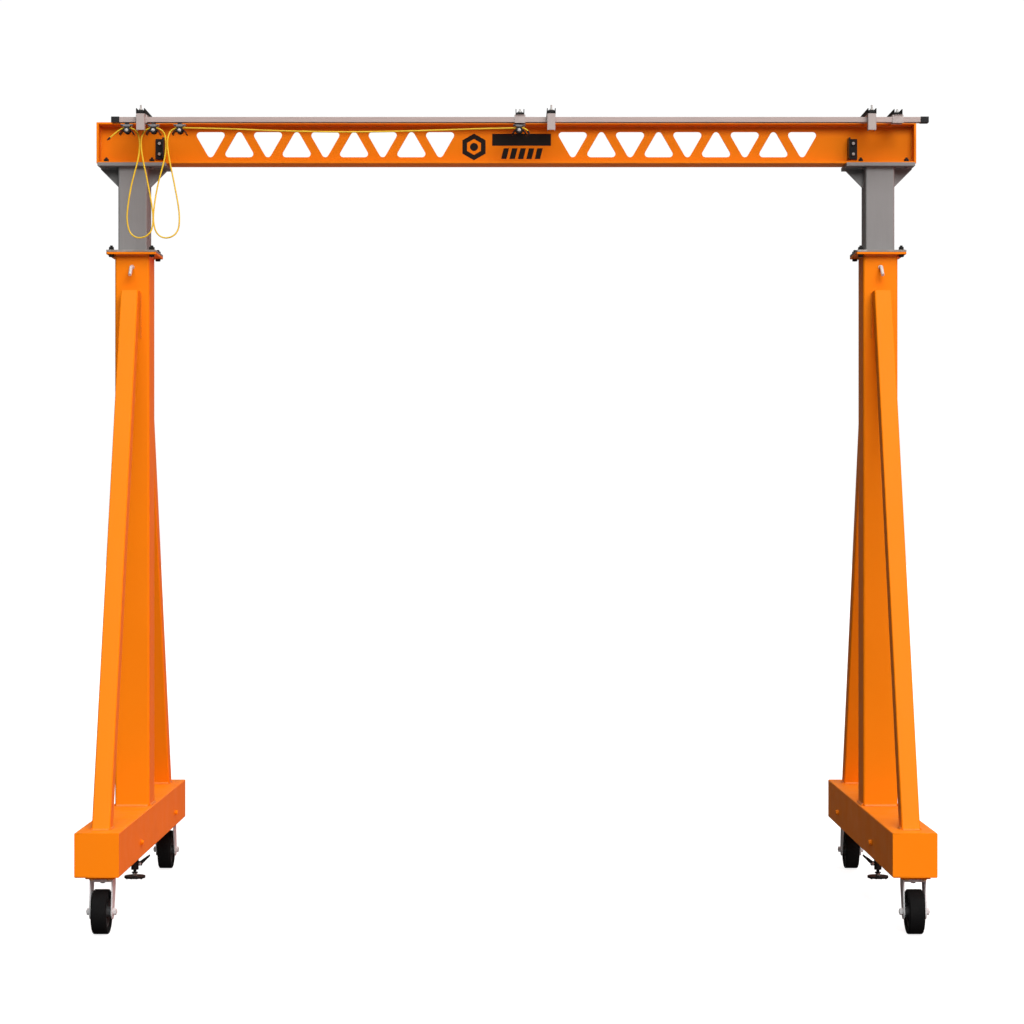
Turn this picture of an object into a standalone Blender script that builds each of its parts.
"""Portable gantry crane: two A-frame legs on casters, telescoping masts, a bridge
beam with a pierced web, and a festoon track that carries a sliding cable.

Metres, +Z up.  X runs along the bridge beam, -Y is the side with the festoon track.
"""
import math

import bmesh
import bpy
from mathutils import Matrix, Vector

# ---- driving dimensions ------------------------------------------------------
GAP = 0.0003                # clearance left between pieces that touch

LEG_X = 1.389               # mast centre from the middle of the beam
BEAM_HALF = 1.524           # beam half length, over the end plates
BEAM_BOTTOM = 2.740         # underside of the bottom flange
BEAM_DEPTH = 0.1524
FLANGE_HALF = 0.0508        # flange half width
FLANGE_T = 0.007
WEB_T = 0.006
WEB_SEAT = 0.0005           # depth of the groove that seats the web in a flange
END_PLATE_T = 0.008
BEAM_TOP = BEAM_BOTTOM + BEAM_DEPTH

WINDOW_FIRST = 0.248        # first web window from the middle of the beam
WINDOW_PITCH = 0.1072
WINDOW_COUNT = 9
WINDOW_SIDE = 0.1235        # side of the sharp triangle before rounding
WINDOW_RADIUS = 0.0124
WINDOW_TOP = 2.864
WINDOW_HEIGHT = 0.0945

BASE_SECTION = 0.1524
BASE_WALL = 0.0063
BASE_HALF = 0.814           # base beam half length
BASE_BOTTOM = 0.200
BASE_TOP = BASE_BOTTOM + BASE_SECTION

MAST_SECTION = 0.1286
MAST_BORE = 0.116
MAST_TOP = 2.4056
FLANGE_PLATE = 0.184
FLANGE_PLATE_T = 0.008
FLANGE_BOLT = 0.075         # bolt centre from the mast centre, both ways
BOLT_HOLE_R = 0.0065

INNER_SECTION = 0.108
INNER_BORE = 0.096
INNER_BOTTOM = 1.100
HEAD_HALF_X = 0.127
HEAD_HALF_Y = 0.0762
HEAD_T = 0.0127
GUSSET_DROP = 0.076
GUSSET_T = 0.010
COLLAR_BORE = 0.1092
PIN_Z = 2.352
PIN_R = 0.00635
PIN_HOLE_R = 0.007
PIN_PITCH = 0.1524
PIN_STEPS = 6               # height settings above the lowest

BRACE_SECTION = 0.0635
BRACE_WALL = 0.0032
BRACE_TOP_Z = 2.260
BRACE_TOP_Y = 0.130         # outer face at the top
BRACE_FOOT_Y = 0.734        # outer face at the base beam

CASTER_SHIFT = 0.007        # casters sit this far to +X of the mast centre
CASTER_Y = 0.732            # swivel axis
CASTER_TRAIL = 0.022        # axle beyond the swivel axis
WHEEL_R = 0.0762
WHEEL_HALF = 0.0255
AXLE_R = 0.006
FORK_HALF = 0.0397
FORK_T = 0.005

TRACK_FRONT = -0.207
TRACK_BACK = -0.177
TRACK_Y = (TRACK_FRONT + TRACK_BACK) / 2
TRACK_BOTTOM = 2.8668
TRACK_TOP = 2.8858
TRACK_WALL = 0.002
TRACK_SLOT = 0.010
TRACK_X = (-1.413, 1.513)
ARM_HALF = 0.016
ARM_HEIGHT = 0.0206
ARM_WALL = 0.003
ARM_BACK = 0.048
SADDLE_X = (-1.387, -1.290, -1.194, 0.0475)
SADDLE_R = 0.028
SADDLE_Z = 2.816            # centre of the saddle arch
SADDLE_BLOCK = 0.009
CABLE_R = 0.0038
CABLE_Z = 2.8476            # cable centre where it lies on a saddle
CABLE_GAP = 0.0007          # from a saddle block to the end of a cable length

parts = None
tools = None


# ---- scene and helpers -------------------------------------------------------
def start_scene():
    global parts, tools
    for obj in list(bpy.data.objects):
        bpy.data.objects.remove(obj, do_unlink=True)
    scene = bpy.context.scene
    scene.unit_settings.system = "METRIC"
    parts = bpy.data.collections.new("portable_gantry_crane")
    tools = bpy.data.collections.new("construction")
    scene.collection.children.link(parts)
    scene.collection.children.link(tools)


def material(name, colour, metallic, roughness):
    mat = bpy.data.materials.new(name)
    mat.use_nodes = True
    shader = mat.node_tree.nodes["Principled BSDF"]
    shader.inputs["Base Color"].default_value = (*colour, 1.0)
    shader.inputs["Metallic"].default_value = metallic
    shader.inputs["Roughness"].default_value = roughness
    mat.diffuse_color = (*colour, 1.0)
    return mat


FINISHES = {
    "orange": ((0.90, 0.22, 0.01), 0.0, 0.45),
    "grey": ((0.30, 0.30, 0.30), 0.2, 0.45),
    "black": ((0.02, 0.02, 0.02), 0.1, 0.5),
    "zinc": ((0.62, 0.62, 0.62), 0.9, 0.4),
    "aluminium": ((0.66, 0.64, 0.63), 0.9, 0.4),
    "rubber": ((0.015, 0.015, 0.015), 0.0, 0.75),
    "yellow": ((0.85, 0.55, 0.02), 0.0, 0.45),
}


def as_object(bm):
    bmesh.ops.recalc_face_normals(bm, faces=bm.faces)
    mesh = bpy.data.meshes.new("piece")
    bm.to_mesh(mesh)
    bm.free()
    obj = bpy.data.objects.new("piece", mesh)
    tools.objects.link(obj)
    return obj


def bake(obj, used=()):
    """Swap the object's data for its evaluated mesh, and drop the objects it used."""
    graph = bpy.context.evaluated_depsgraph_get()
    mesh = bpy.data.meshes.new_from_object(obj.evaluated_get(graph))
    obj.modifiers.clear()
    bm = bmesh.new()
    bm.from_mesh(mesh)
    bmesh.ops.remove_doubles(bm, verts=bm.verts, dist=0.000001)
    bmesh.ops.recalc_face_normals(bm, faces=bm.faces)
    bm.to_mesh(mesh)
    bm.free()
    if obj.type == "MESH":
        obj.data = mesh
        result = obj
    else:
        result = bpy.data.objects.new("piece", mesh)
        tools.objects.link(result)
        bpy.data.objects.remove(obj)
    for tool in used:
        bpy.data.objects.remove(tool)
    return result


def combine(base, operands, operation):
    for operand in operands:
        modifier = base.modifiers.new("shape", "BOOLEAN")
        modifier.operation = operation
        modifier.solver = "EXACT"
        modifier.object = operand
    return bake(base, operands)


def group(pieces):
    """Join separate solids into one object, to cut with in a single step."""
    bm = bmesh.new()
    for piece in pieces:
        bm.from_mesh(piece.data)
        bpy.data.objects.remove(piece)
    return as_object(bm)


def add(base, *operands):
    return combine(base, operands, "UNION")


def cut(base, *operands):
    return combine(base, operands, "DIFFERENCE")


def move(obj, matrix):
    obj.data.transform(matrix)
    if matrix.determinant() < 0:
        obj.data.flip_normals()
    return obj


def shift(obj, x=0.0, y=0.0, z=0.0):
    return move(obj, Matrix.Translation((x, y, z)))


def finish(obj, name, finish_name, origin=(0.0, 0.0, 0.0)):
    """Name the piece, give it its material, and put its origin at a world point."""
    colour, metallic, roughness = FINISHES[finish_name]
    obj.name = name
    obj.data.name = name
    obj.data.materials.clear()
    obj.data.materials.append(material(name + "_mat", colour, metallic, roughness))
    for polygon in obj.data.polygons:
        polygon.use_smooth = False
    obj.data.transform(Matrix.Translation(-Vector(origin)))
    obj.location = origin
    tools.objects.unlink(obj)
    parts.objects.link(obj)
    return obj


def box(x, y, z):
    """A block from (low, high) pairs."""
    bm = bmesh.new()
    bmesh.ops.create_cube(bm, size=1.0)
    size = Vector((x[1] - x[0], y[1] - y[0], z[1] - z[0]))
    centre = Vector((x[0] + x[1], y[0] + y[1], z[0] + z[1])) / 2
    bmesh.ops.scale(bm, vec=size, verts=bm.verts)
    bmesh.ops.translate(bm, vec=centre, verts=bm.verts)
    return as_object(bm)


AXIS_TURN = {
    "X": Matrix(((0, 0, 1, 0), (1, 0, 0, 0), (0, 1, 0, 0), (0, 0, 0, 1))),
    "Y": Matrix(((1, 0, 0, 0), (0, 0, 1, 0), (0, 1, 0, 0), (0, 0, 0, 1))),
    "Z": Matrix.Identity(4),
}


def cylinder(radius, low, high, axis, at=(0.0, 0.0), segments=24):
    """A round bar along an axis; at gives the other two coordinates in XYZ order."""
    bm = bmesh.new()
    bmesh.ops.create_cone(
        bm, cap_ends=True, segments=segments,
        radius1=radius, radius2=radius, depth=high - low,
    )
    bmesh.ops.translate(bm, vec=(at[0], at[1], (low + high) / 2), verts=bm.verts)
    return move(as_object(bm), AXIS_TURN[axis])


def prism(outline, holes, low, high, axis):
    """A flat outline with holes, filled and extruded along an axis."""
    curve = bpy.data.curves.new("outline", "CURVE")
    curve.dimensions = "2D"
    curve.fill_mode = "BOTH"
    curve.extrude = (high - low) / 2
    for loop in (outline, *holes):
        spline = curve.splines.new("POLY")
        spline.points.add(len(loop) - 1)
        for point, (u, v) in zip(spline.points, loop):
            point.co = (u, v, 0.0, 1.0)
        spline.use_cyclic_u = True
    obj = bpy.data.objects.new("outline", curve)
    tools.objects.link(obj)
    solid = bake(obj)
    shift(solid, z=(low + high) / 2)
    return move(solid, AXIS_TURN[axis])


def lathe(profile, steps, axis):
    """Turn a closed (radius, height) profile about an axis through the origin."""
    mesh = bpy.data.meshes.new("profile")
    points = [(radius, 0.0, height) for radius, height in profile]
    edges = [(i, (i + 1) % len(points)) for i in range(len(points))]
    mesh.from_pydata(points, edges, [])
    obj = bpy.data.objects.new("profile", mesh)
    tools.objects.link(obj)
    screw = obj.modifiers.new("turn", "SCREW")
    screw.axis = "Z"
    screw.angle = math.tau
    screw.steps = steps
    screw.render_steps = steps
    screw.use_merge_vertices = True
    screw.merge_threshold = 0.00001
    return move(bake(obj), AXIS_TURN[axis])


def ring(obj, heights):
    """Add a loop of edges at each height, so that holes fall in separate faces."""
    bm = bmesh.new()
    bm.from_mesh(obj.data)
    for height in heights:
        geometry = bm.verts[:] + bm.edges[:] + bm.faces[:]
        bmesh.ops.bisect_plane(bm, geom=geometry, plane_co=(0, 0, height), plane_no=(0, 0, 1))
    bm.to_mesh(obj.data)
    bm.free()
    return obj


def rounded_square(side, radius, centre=(0.0, 0.0), steps=2):
    half = side / 2 - radius
    points = []
    for quarter, (sx, sy) in enumerate(((1, 1), (-1, 1), (-1, -1), (1, -1))):
        for i in range(steps + 1):
            angle = math.radians(90 * quarter + 90 * i / steps)
            u = centre[0] + sx * half + radius * math.cos(angle)
            v = centre[1] + sy * half + radius * math.sin(angle)
            points.append((u, v))
    return points


def rectangle(x, y):
    return [(x[0], y[0]), (x[1], y[0]), (x[1], y[1]), (x[0], y[1])]


def smooth_route(points, spacing):
    """Points about evenly spaced along a smooth curve through the route points."""
    route = [Vector(p) for p in points]
    route = [2 * route[0] - route[1], *route, 2 * route[-1] - route[-2]]
    dense = []
    for a, b, c, d in zip(route, route[1:], route[2:], route[3:]):
        for i in range(16):
            t = i / 16
            dense.append(
                0.5 * (2 * b + (c - a) * t + (2 * a - 5 * b + 4 * c - d) * t * t
                       + (3 * b - a - 3 * c + d) * t * t * t)
            )
    dense.append(route[-2])
    lengths = [0.0]
    for a, b in zip(dense, dense[1:]):
        lengths.append(lengths[-1] + (b - a).length)
    count = max(2, round(lengths[-1] / spacing))
    result = []
    index = 0
    for i in range(count + 1):
        target = lengths[-1] * i / count
        while index < len(dense) - 2 and lengths[index + 1] < target:
            index += 1
        span = lengths[index + 1] - lengths[index]
        result.append(dense[index].lerp(dense[index + 1], (target - lengths[index]) / span))
    return result


def rod(points, radius, resolution=2):
    """A round bar that follows a line of points, closed at both ends."""
    curve = bpy.data.curves.new("rod", "CURVE")
    curve.dimensions = "3D"
    curve.bevel_depth = radius
    curve.bevel_resolution = resolution
    curve.use_fill_caps = True
    spline = curve.splines.new("POLY")
    spline.points.add(len(points) - 1)
    for point, position in zip(spline.points, points):
        point.co = (*position, 1.0)
    obj = bpy.data.objects.new("rod", curve)
    tools.objects.link(obj)
    return bake(obj)


# ---- bridge beam -------------------------------------------------------------
def window_outline(centre_x, apex_down):
    """A rounded equilateral triangle with one flat side level."""
    reach = WINDOW_SIDE / math.sqrt(3) - 2 * WINDOW_RADIUS
    middle = WINDOW_TOP - WINDOW_SIDE / (2 * math.sqrt(3))
    turn = 1 if apex_down else -1
    if not apex_down:
        middle = 2 * WINDOW_TOP - WINDOW_HEIGHT - middle
    points = []
    for corner in range(3):
        heading = math.radians(-90 + 120 * corner)
        cx = reach * math.cos(heading)
        cz = reach * math.sin(heading)
        for i in range(5):
            angle = heading + math.radians(-60 + 30 * i)
            u = centre_x + cx + WINDOW_RADIUS * math.cos(angle)
            v = middle + turn * (cz + WINDOW_RADIUS * math.sin(angle))
            points.append((u, v))
    return points


def beam_web():
    seat = FLANGE_T - WEB_SEAT + GAP
    z = (BEAM_BOTTOM + seat, BEAM_TOP - seat)
    half = BEAM_HALF - END_PLATE_T - GAP
    windows = []
    for side in (-1, 1):
        for k in range(WINDOW_COUNT):
            x = side * (WINDOW_FIRST + k * WINDOW_PITCH)
            windows.append(window_outline(x, k % 2 == 0))
    web = prism(rectangle((-half, half), z), windows, -WEB_T / 2, WEB_T / 2, "Y")
    finish(web, "beam_web", "orange")


def beam_flanges():
    """Each flange has a shallow groove along its inner face, which seats the web."""
    half = BEAM_HALF - END_PLATE_T - GAP
    groove = WEB_T / 2 + GAP
    for name, outer, way in (("bottom", BEAM_BOTTOM, 1), ("top", BEAM_TOP, -1)):
        inner = outer + way * FLANGE_T
        seat = inner - way * WEB_SEAT
        outline = [
            (-FLANGE_HALF, outer), (FLANGE_HALF, outer), (FLANGE_HALF, inner), (groove, inner),
            (groove, seat), (-groove, seat), (-groove, inner), (-FLANGE_HALF, inner),
        ]
        flange = prism(outline, [], -half, half, "X")
        finish(flange, "beam_" + name + "_flange", "orange")


def beam_end_plate(name, side):
    x = sorted((side * (BEAM_HALF - END_PLATE_T), side * BEAM_HALF))
    plate = box(x, (-FLANGE_HALF, FLANGE_HALF), (BEAM_BOTTOM, BEAM_TOP))
    finish(plate, name + "_beam_end_plate", "orange")


def end_stop(name, side, facing):
    """An angle on the web that a hoist trolley runs up against."""
    web_face = WEB_T / 2 + GAP
    inner = 1.274
    outline = [
        (inner, web_face), (1.3105, web_face), (1.3105, web_face + 0.006),
        (inner + 0.006, web_face + 0.006), (inner + 0.006, FLANGE_HALF), (inner, FLANGE_HALF),
    ]
    outline = [(side * u, facing * v) for u, v in outline]
    stop = prism(outline, [], 2.760, 2.8365, "Z")
    finish(stop, name + "_end_stop", "black")


# ---- legs --------------------------------------------------------------------
def base_beam(name, x):
    middle = (BASE_BOTTOM + BASE_TOP) / 2
    outer = rounded_square(BASE_SECTION, 0.004, (x, middle))
    inner = rounded_square(BASE_SECTION - 2 * BASE_WALL, 0.003, (x, middle))
    beam = prism(outer, [], -BASE_HALF, BASE_HALF, "Y")
    hollow = prism(inner, [], -BASE_HALF + BASE_WALL, BASE_HALF - BASE_WALL, "Y")
    drains = [
        cylinder(0.007, BASE_BOTTOM - 0.01, BASE_BOTTOM + 0.02, "Z", (x, y), 16)
        for y in (-0.35, 0.35)
    ]
    finish(cut(beam, add(hollow, *drains)), name + "_base_beam", "orange")


def flange_bolt_holes(x, low, high):
    return [
        cylinder(BOLT_HOLE_R, low, high, "Z", (x + sx * FLANGE_BOLT, sy * FLANGE_BOLT), 16)
        for sx in (-1, 1)
        for sy in (-1, 1)
    ]


def outer_mast(name, x):
    tube = prism(rounded_square(MAST_SECTION, 0.009, (x, 0.0)), [], BASE_TOP + GAP, MAST_TOP - 0.003, "Z")
    plate = prism(
        rounded_square(FLANGE_PLATE, 0.004, (x, 0.0)), [], MAST_TOP - FLANGE_PLATE_T, MAST_TOP, "Z"
    )
    mast = add(tube, plate)
    bore = prism(rounded_square(MAST_BORE, 0.005, (x, 0.0)), [], BASE_TOP - 0.01, MAST_TOP + 0.01, "Z")
    pin_hole = cylinder(PIN_HOLE_R, -0.08, 0.08, "Y", (x, PIN_Z), 16)
    holes = flange_bolt_holes(x, MAST_TOP - 0.02, MAST_TOP + 0.01)
    mast = cut(mast, group(holes), add(bore, pin_hole))
    finish(mast, name + "_outer_mast", "orange")


def guide_collar(name, x):
    low = MAST_TOP + GAP
    collar = prism(
        rounded_square(FLANGE_PLATE, 0.004, (x, 0.0)),
        [rounded_square(COLLAR_BORE, 0.006, (x, 0.0))],
        low, low + FLANGE_PLATE_T, "Z",
    )
    holes = flange_bolt_holes(x, low - 0.01, low + 0.02)
    finish(cut(collar, group(holes)), name + "_guide_collar", "grey")


def brace(name, x, facing):
    """A square tube that leans from the end of the base beam to the mast."""
    run = BRACE_FOOT_Y - BRACE_TOP_Y
    rise = BRACE_TOP_Z - BASE_TOP
    lean = math.atan2(run, rise)
    centre_y = (BRACE_FOOT_Y + BRACE_TOP_Y) / 2 - BRACE_SECTION / 2 / math.cos(lean)
    centre_z = (BRACE_TOP_Z + BASE_TOP) / 2
    place = Matrix.Translation((x, facing * centre_y, centre_z))
    place = place @ Matrix.Rotation(facing * lean, 4, "X")
    outer = prism(rounded_square(BRACE_SECTION, 0.005), [], -1.2, 1.2, "Z")
    inner_top = 0.5 * rise / math.cos(lean) - 0.05
    inner_side = BRACE_SECTION - 2 * BRACE_WALL
    hollow = prism(rounded_square(inner_side, 0.002), [], -1.3, inner_top, "Z")
    move(outer, place)
    move(hollow, place)
    y = sorted((facing * (MAST_SECTION / 2 + GAP), facing * 1.2))
    trim = box((x - 0.1, x + 0.1), y, (BASE_TOP + GAP, BRACE_TOP_Z))
    tube = cut(combine(outer, [trim], "INTERSECT"), hollow)
    finish(tube, name + "_brace", "orange")


def inner_mast(name, x):
    """The sliding mast with its head plate and two gussets, welded into one."""
    head_bottom = BEAM_BOTTOM - GAP - HEAD_T
    half = INNER_SECTION / 2
    mast = prism(rounded_square(INNER_SECTION, 0.007, (x, 0.0)), [], INNER_BOTTOM, head_bottom + 0.004, "Z")
    bore = prism(rounded_square(INNER_BORE, 0.003, (x, 0.0)), [], INNER_BOTTOM - 0.01, head_bottom - 0.002, "Z")
    holes = [
        cylinder(PIN_HOLE_R, -0.07, 0.07, "Y", (x, PIN_Z - k * PIN_PITCH), 16)
        for k in range(PIN_STEPS + 1)
    ]
    head = box(
        (x - HEAD_HALF_X, x + HEAD_HALF_X), (-HEAD_HALF_Y, HEAD_HALF_Y),
        (head_bottom, head_bottom + HEAD_T),
    )
    gussets = []
    for side in (-1, 1):
        outline = [
            (half - 0.003, head_bottom + 0.002), (HEAD_HALF_X - 0.001, head_bottom + 0.002),
            (HEAD_HALF_X - 0.001, head_bottom - 0.004), (half, head_bottom - GUSSET_DROP),
            (half - 0.003, head_bottom - GUSSET_DROP),
        ]
        outline = [(x + side * u, v) for u, v in outline]
        gussets.append(prism(outline, [], -GUSSET_T / 2, GUSSET_T / 2, "Y"))
    levels = [PIN_Z - (k - 0.5) * PIN_PITCH for k in range(PIN_STEPS + 2)]
    tube = cut(cut(ring(mast, levels), ring(bore, levels)), group(holes))
    finish(add(tube, head, group(gussets)), name + "_inner_mast", "grey")


def lock_pin(name, x):
    """A bent pin that pushes through the outer mast into the inner one."""
    tip = -MAST_BORE / 2 - 0.0005
    points = [
        (x, tip, PIN_Z), (x, -0.079, PIN_Z), (x, -0.0835, PIN_Z - 0.001),
        (x, -0.0875, PIN_Z - 0.004), (x, -0.117, PIN_Z - 0.0335),
    ]
    pin = rod(points, PIN_R, 3)
    finish(pin, name + "_lock_pin", "zinc", (x, tip, PIN_Z))


# ---- floor locks -------------------------------------------------------------
def floor_lock(name, x, inward):
    top = BASE_BOTTOM - GAP
    plate = box((x - 0.045, x + 0.045), (-0.04, 0.04), (top - 0.005, top))
    housing = cylinder(0.014, 0.107, top - 0.003, "Z", (x, 0.0), 24)
    lug_x = sorted((x + inward * 0.008, x + inward * 0.027))
    lug = box(lug_x, (-0.005, 0.005), (0.122, 0.138))
    body = add(plate, housing, lug)
    bore = cylinder(0.007, 0.10, top - 0.008, "Z", (x, 0.0), 20)
    pivot = (x + inward * 0.0205, 0.130)
    hole = cylinder(0.0032, -0.02, 0.02, "Y", pivot, 16)
    finish(cut(body, bore, hole), name + "_floor_lock_body", "black")

    tip = (0.0325, 0.028)
    outline = [
        (-0.006, -0.005), (0.002, -0.007), (0.014, 0.004), (tip[0], tip[1] - 0.004),
        (tip[0] + 0.001, tip[1]), (tip[0] - 0.003, tip[1] + 0.002), (0.009, 0.016),
        (-0.004, 0.006),
    ]
    outline = [(pivot[0] + inward * u, pivot[1] + v) for u, v in outline]
    cheeks = [prism(outline, [], side * 0.0077 - 0.0022, side * 0.0077 + 0.0022, "Y") for side in (-1, 1)]
    tread = [
        (0.017, 0.0155), (0.0205, 0.012), (0.0345, 0.0245), (0.0325, 0.0305), (0.030, 0.0305),
    ]
    tread = [(pivot[0] + inward * u, pivot[1] + v) for u, v in tread]
    pad = prism(tread, [], -0.019, 0.019, "Y")
    pin = cylinder(0.0028, -0.0105, 0.0105, "Y", pivot, 16)
    pedal = add(cheeks[0], cheeks[1], pad, pin)
    finish(pedal, name + "_floor_lock_pedal", "black", (pivot[0], 0.0, pivot[1]))

    pad = cylinder(0.039, 0.0762, 0.084, "Z", (x, 0.0), 28)
    grip = [
        box((x + dx - 0.003, x + dx + 0.003), (-0.024, 0.024), (0.0735, 0.077))
        for dx in (-0.027, -0.009, 0.009, 0.027)
    ]
    stem = cylinder(0.006, 0.082, 0.190, "Z", (x, 0.0), 16)
    collar = cylinder(0.012, 0.0947, 0.0977, "Z", (x, 0.0), 20)
    foot = add(pad, stem, collar, *grip)
    finish(foot, name + "_floor_lock_foot", "black", (x, 0.0, 0.084))


# ---- casters -----------------------------------------------------------------
def caster(name, x, y, trail):
    top = BASE_BOTTOM - GAP
    plate = box((x - 0.05, x + 0.05), (y - 0.057, y + 0.057), (top - 0.008, top))
    finish(plate, name + "_caster_plate", "zinc")

    axle_y = y + trail
    axle_z = WHEEL_R
    race = cylinder(0.031, 0.184, top - 0.008 - GAP, "Z", (x, y), 32)
    crown = box((x - FORK_HALF, x + FORK_HALF), (y - 0.030, y + 0.030), (0.178, 0.186))
    pieces = [crown]
    for side in (-1, 1):
        low, high = sorted((x + side * (FORK_HALF - FORK_T), x + side * FORK_HALF))
        outline = [(y - 0.030, 0.185), (y - 0.030, 0.160)]
        for i in range(9):
            angle = math.radians(180 + 180 * i / 8)
            outline.append((axle_y + 0.022 * math.cos(angle), axle_z - 0.002 + 0.024 * math.sin(angle)))
        outline += [(y + 0.030, 0.160), (y + 0.030, 0.185)]
        pieces.append(prism(outline, [], low, high, "X"))
        nut = sorted((x + side * (FORK_HALF - 0.001), x + side * 0.0502))
        pieces.append(cylinder(0.0115, nut[0], nut[1], "X", (axle_y, axle_z), 6))
    axle = cylinder(AXLE_R, x - FORK_HALF, x + FORK_HALF, "X", (axle_y, axle_z), 20)
    fork = add(race, *pieces, axle)
    finish(fork, name + "_caster_fork", "zinc", (x, y, 0.184))

    wheel = lathe(wheel_profile(), 30, "X")
    shift(wheel, x, axle_y, axle_z)
    finish(wheel, name + "_caster_wheel", "rubber", (x, axle_y, axle_z))


def wheel_profile():
    """Tread, sidewalls and hub of a solid tyre, as (radius, offset) pairs."""
    half = [
        (AXLE_R + 0.0004, 0.0335), (0.017, 0.0335), (0.0205, 0.0205), (0.052, 0.0205),
        (0.057, WHEEL_HALF), (0.0685, WHEEL_HALF), (0.0740, 0.0230), (WHEEL_R, 0.0180),
    ]
    mirrored = [(radius, -offset) for radius, offset in reversed(half)]
    return half + mirrored


# ---- festoon -----------------------------------------------------------------
def track():
    w = TRACK_WALL
    lip = (TRACK_BACK - TRACK_FRONT - TRACK_SLOT) / 2
    f, b, low, high = TRACK_FRONT, TRACK_BACK, TRACK_BOTTOM, TRACK_TOP
    outline = [
        (f, low), (f + lip, low), (f + lip, low + w), (f + w, low + w), (f + w, high - w),
        (b - w, high - w), (b - w, low + w), (b - lip, low + w), (b - lip, low), (b, low),
        (b, high), (f, high),
    ]
    finish(prism(outline, [], TRACK_X[0], TRACK_X[1], "X"), "festoon_track", "aluminium")


def track_cap(name, x):
    cap = box(x, (TRACK_FRONT - 0.0015, TRACK_BACK + 0.0015), (TRACK_BOTTOM - 0.0013, TRACK_TOP + 0.0014))
    finish(cap, "track_end_cap_" + name, "black")


def cross_arm(name, x, stop_bracket, hanger):
    """An open channel over the beam that holds the track out in front."""
    low = BEAM_TOP + GAP
    front = -0.233 if stop_bracket else -0.214
    u, w, h = ARM_HALF, ARM_WALL, ARM_HEIGHT
    outline = [
        (x - u, low), (x + u, low), (x + u, low + h), (x + u - w, low + h),
        (x + u - w, low + w), (x - u + w, low + w), (x - u + w, low + h), (x - u, low + h),
    ]
    pieces = []
    if stop_bracket:
        half, wall = 0.0145, 0.003
        back = TRACK_FRONT - 0.0005
        bracket = [
            (x - half, -0.236), (x + half, -0.236), (x + half, back), (x + half - wall, back),
            (x + half - wall, -0.233), (x - half + wall, -0.233), (x - half + wall, back),
            (x - half, back),
        ]
        pieces.append(prism(bracket, [], 2.834, low + 0.0015, "Z"))
    if hanger:
        f, b = TRACK_FRONT - GAP, TRACK_BACK + GAP
        under, over = TRACK_BOTTOM - GAP, TRACK_TOP + GAP
        wrap = [
            (f - 0.003, under - 0.003), (f + 0.007, under - 0.003), (f + 0.007, under),
            (f, under), (f, over), (b, over), (b, under), (b - 0.007, under),
            (b - 0.007, under - 0.003), (b + 0.003, under - 0.003), (b + 0.003, low + 0.001),
            (f - 0.003, low + 0.001),
        ]
        pieces.append(prism(wrap, [], x - 0.020, x + 0.020, "X"))
    arm = add(prism(outline, [], front, ARM_BACK, "Y"), *pieces)
    finish(arm, "cross_arm_" + name, "black")


def saddle(name, x):
    """A carriage in the track with a clamp block and an arch that the cable lies on."""
    y = TRACK_Y
    carriage = box((x - 0.020, x + 0.020), (y - 0.012, y + 0.012), (2.8693, 2.8833))
    neck = box((x - 0.008, x + 0.008), (y - 0.0035, y + 0.0035), (2.858, 2.871))
    plate = box((x - 0.022, x + 0.022), (y - 0.010, y + 0.010), (2.8557, 2.8600))
    clamp = box((x - 0.012, x + 0.012), (y - 0.0125, y + 0.0125), (2.8518, 2.8568))
    block = box((x - SADDLE_BLOCK, x + SADDLE_BLOCK), (y - 0.0120, y + 0.0120), (2.830, 2.854))
    outer, inner = [], []
    for i in range(13):
        angle = math.radians(12 + 156 * i / 12)
        outer.append((x + SADDLE_R * math.cos(angle), SADDLE_Z + SADDLE_R * math.sin(angle)))
        inner.append((
            x + (SADDLE_R - 0.0035) * math.cos(angle), SADDLE_Z + (SADDLE_R - 0.0035) * math.sin(angle)
        ))
    arch = prism(outer + inner[::-1], [], y - 0.015, y + 0.015, "Y")
    body = add(arch, block, clamp, plate, neck, carriage)
    finish(body, name, "black", (x, y, SADDLE_Z))


def cable_start(index, side):
    """Where the cable leaves a saddle block, in the plane of the track."""
    return (SADDLE_X[index] + side * (SADDLE_BLOCK + CABLE_GAP), TRACK_Y, CABLE_Z)


def cable(name, points, spacing, both_ends=True):
    """A length of cable that leaves a saddle level, and meets the next one level."""
    first, last = Vector(points[0]), Vector(points[-1])
    heading = 1 if points[1][0] > first.x else -1
    stub = Vector((heading * 0.004, 0.0, 0.0))
    route = [first + stub, *points[1:-1], last - stub if both_ends else last]
    line = [first, *smooth_route(route, spacing)]
    if both_ends:
        line.append(last)
    finish(rod(line, CABLE_R, 2), name, "yellow", first)


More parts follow.
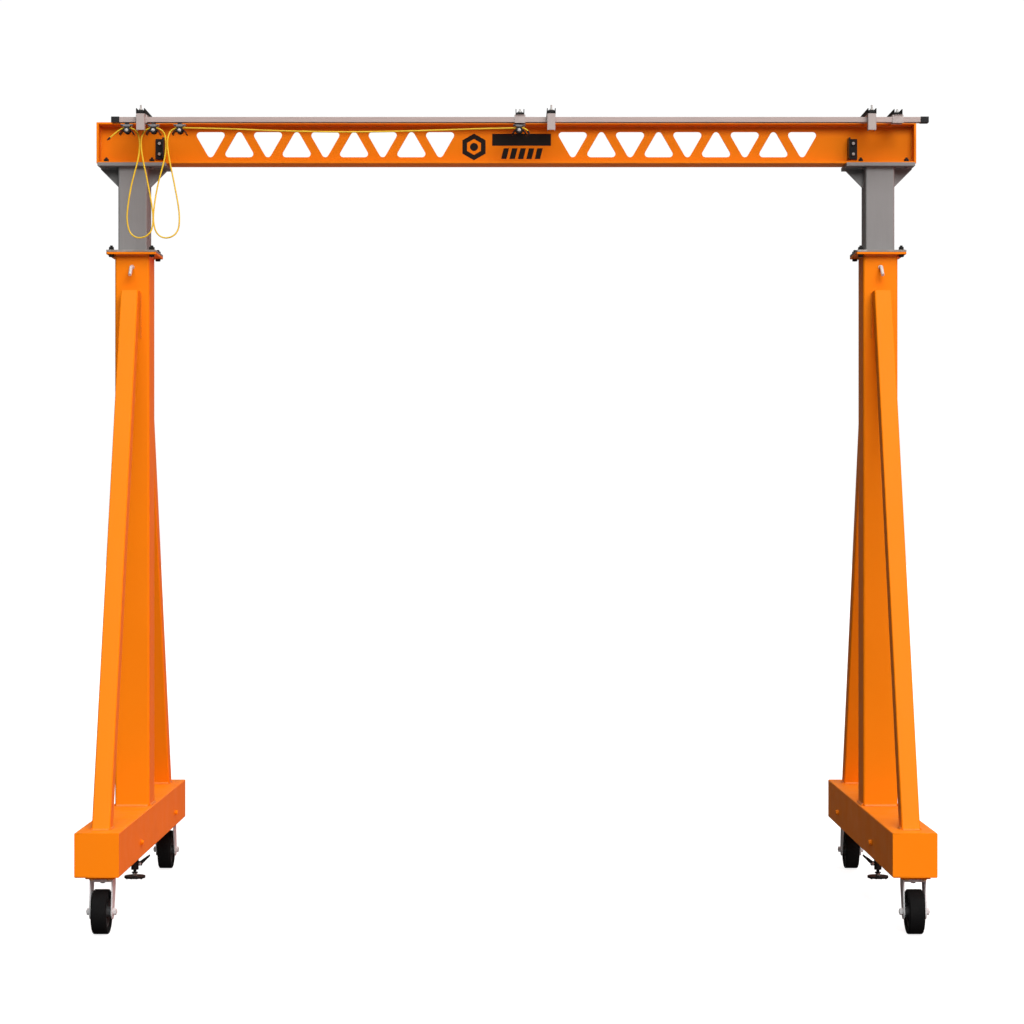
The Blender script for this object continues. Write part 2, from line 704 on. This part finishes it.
def hanging_loop(name, index):
    """A teardrop of cable between two saddles; its two strands pass side by side."""
    start = cable_start(index, 1)
    end = cable_start(index + 1, -1)
    middle = (start[0] + end[0]) / 2
    down, up = TRACK_Y + 0.005, TRACK_Y - 0.005
    route = [
        (-0.0298, TRACK_Y, 2.845), (-0.016, TRACK_Y, 2.8375), (-0.0065, down, 2.818), (-0.0035, down, 2.780),
        (-0.0095, down, 2.732), (-0.0330, down, 2.640), (-0.0465, down, 2.560),
        (-0.0490, down, 2.510), (-0.0400, down, 2.470), (-0.0220, down, 2.451),
        (0.0020, TRACK_Y, 2.446), (0.0260, up, 2.454), (0.0420, up, 2.475),
        (0.0470, up, 2.510), (0.0435, up, 2.560), (0.0290, up, 2.640),
        (0.0105, up, 2.732), (0.0040, up, 2.780), (0.0060, up, 2.814), (0.0155, TRACK_Y, 2.8365),
        (0.0298, TRACK_Y, 2.845),
    ]
    route = [(middle + dx, y, z) for dx, y, z in route]
    cable(name, [start, *route, end], 0.0155)


def cable_runs():
    y = TRACK_Y
    hanging_loop("cable_loop_a", 0)
    hanging_loop("cable_loop_b", 1)
    start = cable_start(2, 1)
    end = cable_start(3, -1)
    run = [
        start, (-1.150, y, 2.8475), (-1.018, y, 2.8445), (-0.880, y, 2.8390), (-0.740, y, 2.8350),
        (-0.590, y, 2.8332), (-0.420, y, 2.8350), (-0.242, y, 2.8400), (-0.090, y, 2.8450), end,
    ]
    cable("cable_run", run, 0.020)
    start = cable_start(3, 1)
    x = start[0]
    tail = [start, (x + 0.0135, y, 2.8440), (x + 0.0220, y, 2.8365), (x + 0.0265, y, 2.8280)]
    cable("cable_tail_right", tail, 0.009, both_ends=False)
    start = cable_start(0, -1)
    x = start[0]
    tail = [
        start, (x - 0.0180, y, 2.8400), (x - 0.0330, y, 2.8290), (x - 0.0460, y, 2.8180),
        (x - 0.0590, y, 2.8065),
    ]
    cable("cable_tail_left", tail, 0.012, both_ends=False)


# ---- assembly ----------------------------------------------------------------
def build():
    start_scene()
    beam_flanges()
    beam_web()
    for side_name, side in (("left", -1), ("right", 1)):
        x = side * LEG_X
        beam_end_plate(side_name, side)
        end_stop(side_name + "_front", side, -1)
        end_stop(side_name + "_rear", side, 1)
        base_beam(side_name, x)
        outer_mast(side_name, x)
        guide_collar(side_name, x)
        brace(side_name + "_front", x, -1)
        brace(side_name + "_rear", x, 1)
        inner_mast(side_name, x)
        lock_pin(side_name, x)
        floor_lock(side_name, x, -side)
        caster(side_name + "_front", x + CASTER_SHIFT, -CASTER_Y, -CASTER_TRAIL)
        caster(side_name + "_rear", x + CASTER_SHIFT, CASTER_Y, CASTER_TRAIL)
    track()
    track_cap("left", (TRACK_X[0] - 0.030, TRACK_X[0] - GAP))
    track_cap("right", (TRACK_X[1] + GAP, TRACK_X[1] + 0.030))
    cross_arm("1", -1.332, True, True)
    cross_arm("2", 0.050, False, True)
    cross_arm("3", 0.164, True, False)
    cross_arm("4", 1.332, True, False)
    cross_arm("5", 1.430, False, True)
    names = ("cable_clamp", "cable_trolley_a", "cable_trolley_b", "tow_trolley")
    for name, x in zip(names, SADDLE_X):
        saddle(name, x)
    cable_runs()


build()
